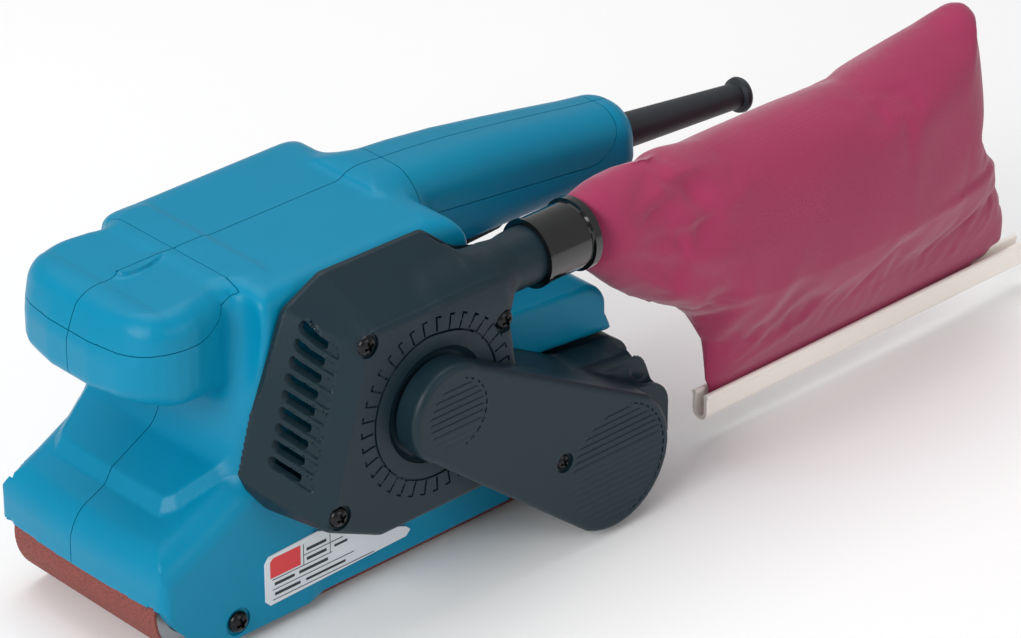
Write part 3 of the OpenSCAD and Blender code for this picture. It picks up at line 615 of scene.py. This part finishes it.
def make_bag():
    bag = carve("bag_cloth", bag_form, (78, BAG_Y - 20, 10), (311, BAG_Y + 20, 140), 3.2, 180)
    at = positions(bag.data)
    from_neck = np.clip((at[:, 0] - 92) / 25, 0, 1)
    from_clip = np.clip((at[:, 2] - 24) / 25, 0, 1)
    free = from_neck * from_clip
    at = swell(bag, at, free)
    side = np.sign(at[:, 1] - BAG_Y)
    at[:, 1] += side * (noise_fold(at, 5) * 1.1 - creases(at)) * np.clip(free * 2, 0, 1)
    lo = np.array([79.5, BAG_Y - 27, 9.5])
    hi = np.array([313, BAG_Y + 27, 139])
    bag.data.vertices.foreach_set("co", (np.clip(at, lo, hi) * MM).ravel())
    sub = bag.modifiers.new("smooth", "SUBSURF")
    sub.levels = sub.render_levels = 1
    depsgraph = bpy.context.evaluated_depsgraph_get()
    final = bpy.data.meshes.new_from_object(bag.evaluated_get(depsgraph))
    bag.modifiers.clear()
    bag.data = final
    for p in final.polygons:
        p.use_smooth = True
    return bag


CLIP_X = (143.3, 317.7)
CLIP_FOOT_Z = 12.6          # centre of the round foot that holds the bag's hem


def clip_form(x, y, z):
    """Clamping strip: a round foot with a slit for the hem and two rolled lips."""
    u = y - BAG_Y
    foot = np.maximum(disc(u, z, 0, CLIP_FOOT_Z, 3.6), z - CLIP_FOOT_Z)
    outer = np.minimum(foot, np.maximum(np.abs(u) - 3.6, slab(z, CLIP_FOOT_Z, 19.4)))
    inner = np.minimum(disc(u, z, 0, CLIP_FOOT_Z, 2.1), np.maximum(np.abs(u) - 2.1, slab(z, CLIP_FOOT_Z, 30)))
    lips = disc(np.abs(u), z, 2.9, 19.0, 1.1)
    d = np.maximum(np.minimum(np.maximum(outer, -inner), lips), slab(x, *CLIP_X))
    return np.maximum(d, -np.maximum(poly(x, z, [(140, 25), (140, 15.5), (146, 25)]), u))


# ---------- materials ----------

def new_material(name):
    mat = bpy.data.materials.new(name)
    mat.use_nodes = True
    nodes, links = mat.node_tree.nodes, mat.node_tree.links
    return mat, nodes, links, nodes["Principled BSDF"]


def linear(c):
    return tuple((v / 12.92 if v <= 0.04045 else ((v + 0.055) / 1.055) ** 2.4) for v in c) + (1.0,)


def node(nodes, kind, **inputs):
    n = nodes.new(kind)
    for k, v in inputs.items():
        n.inputs[k.replace("_", " ")].default_value = v
    return n


def shades(nodes, rgb, first, last, start=0.0, end=1.0):
    """Ramp from the colour times first, at start, to the colour times last, at end."""
    ramp = nodes.new("ShaderNodeValToRGB")
    base = linear(rgb)
    for element, place, factor in zip(ramp.color_ramp.elements, (start, end), (first, last)):
        element.position = place
        element.color = tuple(min(c * factor, 1) for c in base[:3]) + (1,)
    return ramp


def add_bump(nodes, links, bsdf, height, strength, distance):
    bump = node(nodes, "ShaderNodeBump", Strength=strength, Distance=distance)
    links.new(height, bump.inputs["Height"])
    links.new(bump.outputs["Normal"], bsdf.inputs["Normal"])


def plastic(name, rgb, rough, grain=900, depth=0.12, vary=0.05, metal=0.0, spec=0.5, coat=0.0):
    """Moulded or cast surface: broad colour drift, a fine grain in the bump, and uneven gloss."""
    mat, nodes, links, bsdf = new_material(name)
    where = nodes.new("ShaderNodeTexCoord")
    drift = node(nodes, "ShaderNodeTexNoise", Scale=14.0, Detail=4.0, Roughness=0.6)
    links.new(where.outputs["Object"], drift.inputs["Vector"])
    ramp = shades(nodes, rgb, 1 - vary, 1 + vary, 0.3, 0.7)
    links.new(drift.outputs["Fac"], ramp.inputs["Fac"])
    links.new(ramp.outputs["Color"], bsdf.inputs["Base Color"])
    gloss = nodes.new("ShaderNodeMapRange")
    gloss.inputs["To Min"].default_value = rough - 0.05
    gloss.inputs["To Max"].default_value = rough + 0.07
    links.new(drift.outputs["Fac"], gloss.inputs["Value"])
    links.new(gloss.outputs["Result"], bsdf.inputs["Roughness"])
    fine = node(nodes, "ShaderNodeTexNoise", Scale=grain, Detail=2.0)
    links.new(where.outputs["Object"], fine.inputs["Vector"])
    add_bump(nodes, links, bsdf, fine.outputs["Fac"], depth, 0.0003)
    bsdf.inputs["Metallic"].default_value = metal
    bsdf.inputs["Specular IOR Level"].default_value = spec
    bsdf.inputs["Coat Weight"].default_value = coat
    return mat


def cloth(name, rgb):
    """Fine plain weave with sheen and a slow change of shade."""
    mat, nodes, links, bsdf = new_material(name)
    where = nodes.new("ShaderNodeTexCoord")
    warp, weft = (node(nodes, "ShaderNodeTexWave", Scale=420.0, Distortion=0.6, Detail=1.0) for _ in range(2))
    warp.bands_direction, weft.bands_direction = "X", "Z"
    drift = node(nodes, "ShaderNodeTexNoise", Scale=30.0, Detail=6.0)
    for n in (warp, weft, drift):
        links.new(where.outputs["Object"], n.inputs["Vector"])
    weave = nodes.new("ShaderNodeMath")
    weave.operation = "MULTIPLY"
    links.new(warp.outputs["Fac"], weave.inputs[0])
    links.new(weft.outputs["Fac"], weave.inputs[1])
    ramp = shades(nodes, rgb, 0.93, 1.06, 0.25, 0.75)
    links.new(drift.outputs["Fac"], ramp.inputs["Fac"])
    links.new(ramp.outputs["Color"], bsdf.inputs["Base Color"])
    add_bump(nodes, links, bsdf, weave.outputs["Value"], 0.18, 0.0004)
    bsdf.inputs["Roughness"].default_value = 0.8
    bsdf.inputs["Sheen Weight"].default_value = 0.35
    bsdf.inputs["Sheen Roughness"].default_value = 0.4
    return mat


def grit(name, rgb):
    """Abrasive grains on a cloth backing."""
    mat, nodes, links, bsdf = new_material(name)
    where = nodes.new("ShaderNodeTexCoord")
    cells = node(nodes, "ShaderNodeTexVoronoi", Scale=1500.0)
    links.new(where.outputs["Object"], cells.inputs["Vector"])
    ramp = shades(nodes, rgb, 1.35, 0.55)
    links.new(cells.outputs["Distance"], ramp.inputs["Fac"])
    links.new(ramp.outputs["Color"], bsdf.inputs["Base Color"])
    add_bump(nodes, links, bsdf, cells.outputs["Distance"], 0.6, 0.0006)
    bsdf.inputs["Roughness"].default_value = 0.75
    return mat


PLASTICS = {
    "shell_blue": dict(rgb=(0.0, 0.50, 0.64), rough=0.36, depth=0.10, vary=0.04, spec=0.18),
    "panel_blue": dict(rgb=(0.0, 0.49, 0.62), rough=0.40, depth=0.16, vary=0.04, spec=0.24),
    "cover_black": dict(rgb=(0.075, 0.155, 0.19), rough=0.42, depth=0.22, vary=0.07, spec=0.26),
    "plate_white": dict(rgb=(0.83, 0.85, 0.87), rough=0.35, depth=0.04, vary=0.03),
    "print_black": dict(rgb=(0.14, 0.15, 0.17), rough=0.5, depth=0.05),
    "print_red": dict(rgb=(0.83, 0.20, 0.22), rough=0.4, depth=0.05),
    "cast_aluminium": dict(rgb=(0.68, 0.69, 0.70), rough=0.42, grain=500, depth=0.35, metal=1.0),
    "steel": dict(rgb=(0.62, 0.63, 0.65), rough=0.25, grain=1500, depth=0.08, metal=1.0),
    "pad_rubber": dict(rgb=(0.17, 0.17, 0.18), rough=0.8, depth=0.4),
    "lamination": dict(rgb=(0.42, 0.42, 0.44), rough=0.45, grain=1200, depth=0.3, metal=0.9),
    "copper": dict(rgb=(0.72, 0.38, 0.20), rough=0.32, grain=1600, depth=0.5, metal=1.0),
    "fan_plastic": dict(rgb=(0.14, 0.14, 0.15), rough=0.5),
    "brass": dict(rgb=(0.78, 0.62, 0.33), rough=0.3, metal=1.0),
    "carbon": dict(rgb=(0.12, 0.12, 0.12), rough=0.6, depth=0.3),
    "drive_rubber": dict(rgb=(0.10, 0.10, 0.10), rough=0.75, depth=0.4),
    "screw_black": dict(rgb=(0.11, 0.11, 0.12), rough=0.22, depth=0.1, metal=0.6),
    "control_black": dict(rgb=(0.09, 0.09, 0.10), rough=0.4, depth=0.2),
    "circuit": dict(rgb=(0.10, 0.33, 0.20), rough=0.4, vary=0.15),
    "guard_rubber": dict(rgb=(0.13, 0.15, 0.17), rough=0.45, depth=0.25),
    "sleeve_gloss": dict(rgb=(0.035, 0.04, 0.045), rough=0.10, depth=0.03, coat=0.6),
    "clip_cream": dict(rgb=(0.97, 0.94, 0.91), rough=0.38, depth=0.1, vary=0.03),
}
MATERIALS = {name: plastic(name, **look) for name, look in PLASTICS.items()}
MATERIALS["abrasive"] = grit("abrasive", (0.53, 0.26, 0.23))
MATERIALS["bag_cloth"] = cloth("bag_cloth", (0.60, 0.15, 0.32))

CARRIED_OVER = {
    "plate_white": ["rating_plate"],
    "cast_aluminium": ["frame", "motor_pulley", "driven_pulley", "rear_roller", "front_roller"],
    "steel": ["platen_plate", "armature_shaft", "motor_bearings", "brush_springs", "pulley_nut",
              "drive_shaft", "rear_bearings", "front_bearings", "front_axle", "tension_yoke",
              "tension_lever"],
    "pad_rubber": ["platen_pad"],
    "abrasive": ["sanding_belt"],
    "lamination": ["stator_core", "armature_core"],
    "copper": ["field_coils", "armature_windings", "commutator"],
    "fan_plastic": ["cooling_fan"],
    "brass": ["brush_holders"],
    "carbon": ["carbon_brushes"],
    "drive_rubber": ["toothed_belt", "rear_tyre"],
    "control_black": ["trigger", "switch_body", "lock_button", "speed_dial"],
    "circuit": ["speed_controller"],
    "guard_rubber": ["cord_guard"],
    "sleeve_gloss": ["nozzle_sleeve"],
}


def paint(obj, mat):
    obj.data.materials.clear()
    obj.data.materials.append(MATERIALS[mat])


def dress(obj, mat, body="body", nodes=()):
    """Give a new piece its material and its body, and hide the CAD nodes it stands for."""
    paint(obj, mat)
    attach(obj, body)
    if nodes:
        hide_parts(*nodes)


# ---------- tension spring ----------

SPRING_ENDS = (-35.2, -26.6)    # X of the yoke's end and of the frame's end
SPRING_AXIS_Z = 22.0
SPRING_RADIUS, SPRING_WIRE = 5.6, 0.7
SPRING_TURNS = 4.5
SPRING_LENGTH = SPRING_ENDS[1] - SPRING_ENDS[0]


def spring_coil():
    """Wire wound round the yoke's rod, a little closer at its two ends."""
    steps, sides = 200, 10
    s = np.linspace(0, 1, steps + 1)
    turn = s * SPRING_TURNS * 2 * math.pi
    rise = s * s * (3 - 2 * s) * 0.35 + s * 0.65
    x = SPRING_ENDS[0] + SPRING_WIRE + rise * (SPRING_LENGTH - 2 * SPRING_WIRE)
    out = np.stack([np.zeros_like(s), np.cos(turn), np.sin(turn)], 1)
    centre = np.stack([x, np.zeros_like(s), np.full_like(s, SPRING_AXIS_Z)], 1) + out * SPRING_RADIUS
    round_wire = np.arange(sides) * 2 * math.pi / sides
    axis = np.array([1.0, 0, 0])
    verts = (centre[:, None] + SPRING_WIRE * (np.cos(round_wire)[None, :, None] * out[:, None]
                                              + np.sin(round_wire)[None, :, None] * axis)).reshape(-1, 3)
    i, k = np.meshgrid(np.arange(steps), np.arange(sides), indexing="ij")
    a, b = i * sides + k, i * sides + (k + 1) % sides
    quads = np.stack([a, a + sides, b + sides, b], -1).reshape(-1, 4)
    # each end is closed by quads between opposite halves of its last ring
    caps = [[r + j, r + j + 1, r + sides - 2 - j, r + sides - 1 - j] for r in (0, steps * sides)
            for j in range(sides // 2 - 1)]
    half = len(caps) // 2
    caps = [c[::-1] for c in caps[:half]] + caps[half:]
    return mesh_object("tension_coil", verts, np.concatenate([quads, np.array(caps)]))


# ---------- pieces ----------

CELL = 1.15
FINE = 0.7

# node, field, low corner, high corner, cell size, material
BODY_PIECES = [
    ("housing_left", housing_left, (-102, -46, 3), (162, 3, 135), CELL, "shell_blue"),
    ("housing_right", housing_right, (-102, 3, 3), (162, 46, 135), CELL, "shell_blue"),
    ("grip_cap_left", cap_left, (-102, -34, 114), (-50, 3, 131), CELL, "shell_blue"),
    ("grip_cap_right", cap_right, (-102, 3, 114), (-50, 40, 131), CELL, "shell_blue"),
    ("handle_panel_left", panel_left, (34, -16, 98), (150, 3, 132), CELL, "panel_blue"),
    ("handle_panel_right", panel_right, (34, 3, 98), (150, 22, 132), CELL, "panel_blue"),
    ("motor_cover", motor_cover, (-70, -70, 34), (75, -44, 134), FINE, "cover_black"),
    ("drive_cover", drive_cover, (-19, -80, 0), (105, -69, 99), FINE * 0.75, "cover_black"),
    ("drive_case", drive_case, (38, -70, 0), (113, -44, 80), FINE, "cover_black"),
    ("rear_cover", rear_cover, (60, -45, 8), (113, 45, 56), CELL, "cover_black"),
]
for name, field, lo, hi, cell, mat in BODY_PIECES:
    dress(carve(name + "_skin", field, lo, hi, cell), mat, nodes=(name,))

for i, (px, pz) in enumerate(COVER_SCREWS):
    head = screw("cover_screw_%d" % i, px, COVER_Y - 0.85, pz, 3.7, 2.0)
    dress(head, "screw_black", nodes=("cover_screws",))
head = screw("drive_screw_head", DRIVE_SCREW[0], DRIVE_Y + 0.25, DRIVE_SCREW[1], 3.0, 1.5)
dress(head, "screw_black", nodes=("drive_screw",))
head = screw("tracking_screw_head", TRACKING[0], -HALF_W - 2, TRACKING[1], 4.0, 2.2)
dress(head, "screw_black", "tracking", ("tracking_screw",))

coil = spring_coil()
dress(coil, "steel", nodes=("tension_spring",))
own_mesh(coil)

dress(rating_marks(), "print_black")
dress(rating_block(), "print_red")

bag = make_bag()
dress(bag, "bag_cloth", "bag", ("dust_bag",))
strip = carve("bag_clip_strip", clip_form, (143, BAG_Y - 4, 8), (318, BAG_Y + 4, 21), 0.6)
dress(strip, "clip_cream", "clip", ("bag_clip",))

for mat, names in CARRIED_OVER.items():
    for name in names:
        paint(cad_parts[name], mat)

# ---------- camera, floor and light ----------

IMAGE_WIDTH = 1021
FOCAL_LENGTH = 4800                             # in widths of one image point
SENSOR_WIDTH = 36
CAMERA_PLACE = (-0.93243, -1.10615, 0.90089)    # metres
CAMERA_BACK = (-0.594, -0.6366, 0.4924)         # direction from the object to the camera
MIDDLE = (0.05, 0.0, 0.06)                      # where the lights point, in metres

camera = bpy.data.objects.new("camera", bpy.data.cameras.new("camera"))
bpy.context.scene.collection.objects.link(camera)
camera.location = CAMERA_PLACE
camera.rotation_euler = Vector(CAMERA_BACK).normalized().to_track_quat("Z", "Y").to_euler()
camera.data.lens = SENSOR_WIDTH * FOCAL_LENGTH / IMAGE_WIDTH
camera.data.clip_end = 20
bpy.context.scene.camera = camera
bpy.context.scene.view_settings.view_transform = "Standard"


def stage_floor():
    mesh = bpy.data.meshes.new("floor")
    bm = bmesh.new()
    bmesh.ops.create_grid(bm, x_segments=2, y_segments=2, size=4.0)
    bm.to_mesh(mesh)
    bm.free()
    obj = bpy.data.objects.new("floor", mesh)
    bpy.context.scene.collection.objects.link(obj)
    mat, _, _, bsdf = new_material("floor")
    bsdf.inputs["Base Color"].default_value = (0.93, 0.93, 0.93, 1)
    bsdf.inputs["Roughness"].default_value = 0.9
    bsdf.inputs["Specular IOR Level"].default_value = 0.1
    mesh.materials.append(mat)
    obj.location.z = -0.0004    # just under the belt, so the two faces don't coincide


def area_light(name, place, size, power):
    lamp = bpy.data.lights.new(name, "AREA")
    lamp.shape = "RECTANGLE"
    lamp.size, lamp.size_y = size
    lamp.energy = power
    obj = bpy.data.objects.new(name, lamp)
    bpy.context.scene.collection.objects.link(obj)
    obj.location = place
    obj.rotation_euler = (Vector(place) - Vector(MIDDLE)).to_track_quat("Z", "Y").to_euler()


stage_floor()
area_light("key", (-1.5, -0.35, 0.95), (0.9, 0.9), 20)
area_light("side", (0.4, -1.6, 0.8), (0.8, 0.6), 4)
area_light("top", (0.2, 0.4, 1.6), (1.3, 1.3), 13)
world = bpy.data.worlds.new("world")
world.use_nodes = True
background = world.node_tree.nodes["Background"]
background.inputs["Color"].default_value = (1, 1, 1, 1)
background.inputs["Strength"].default_value = 0.42
bpy.context.scene.world = world
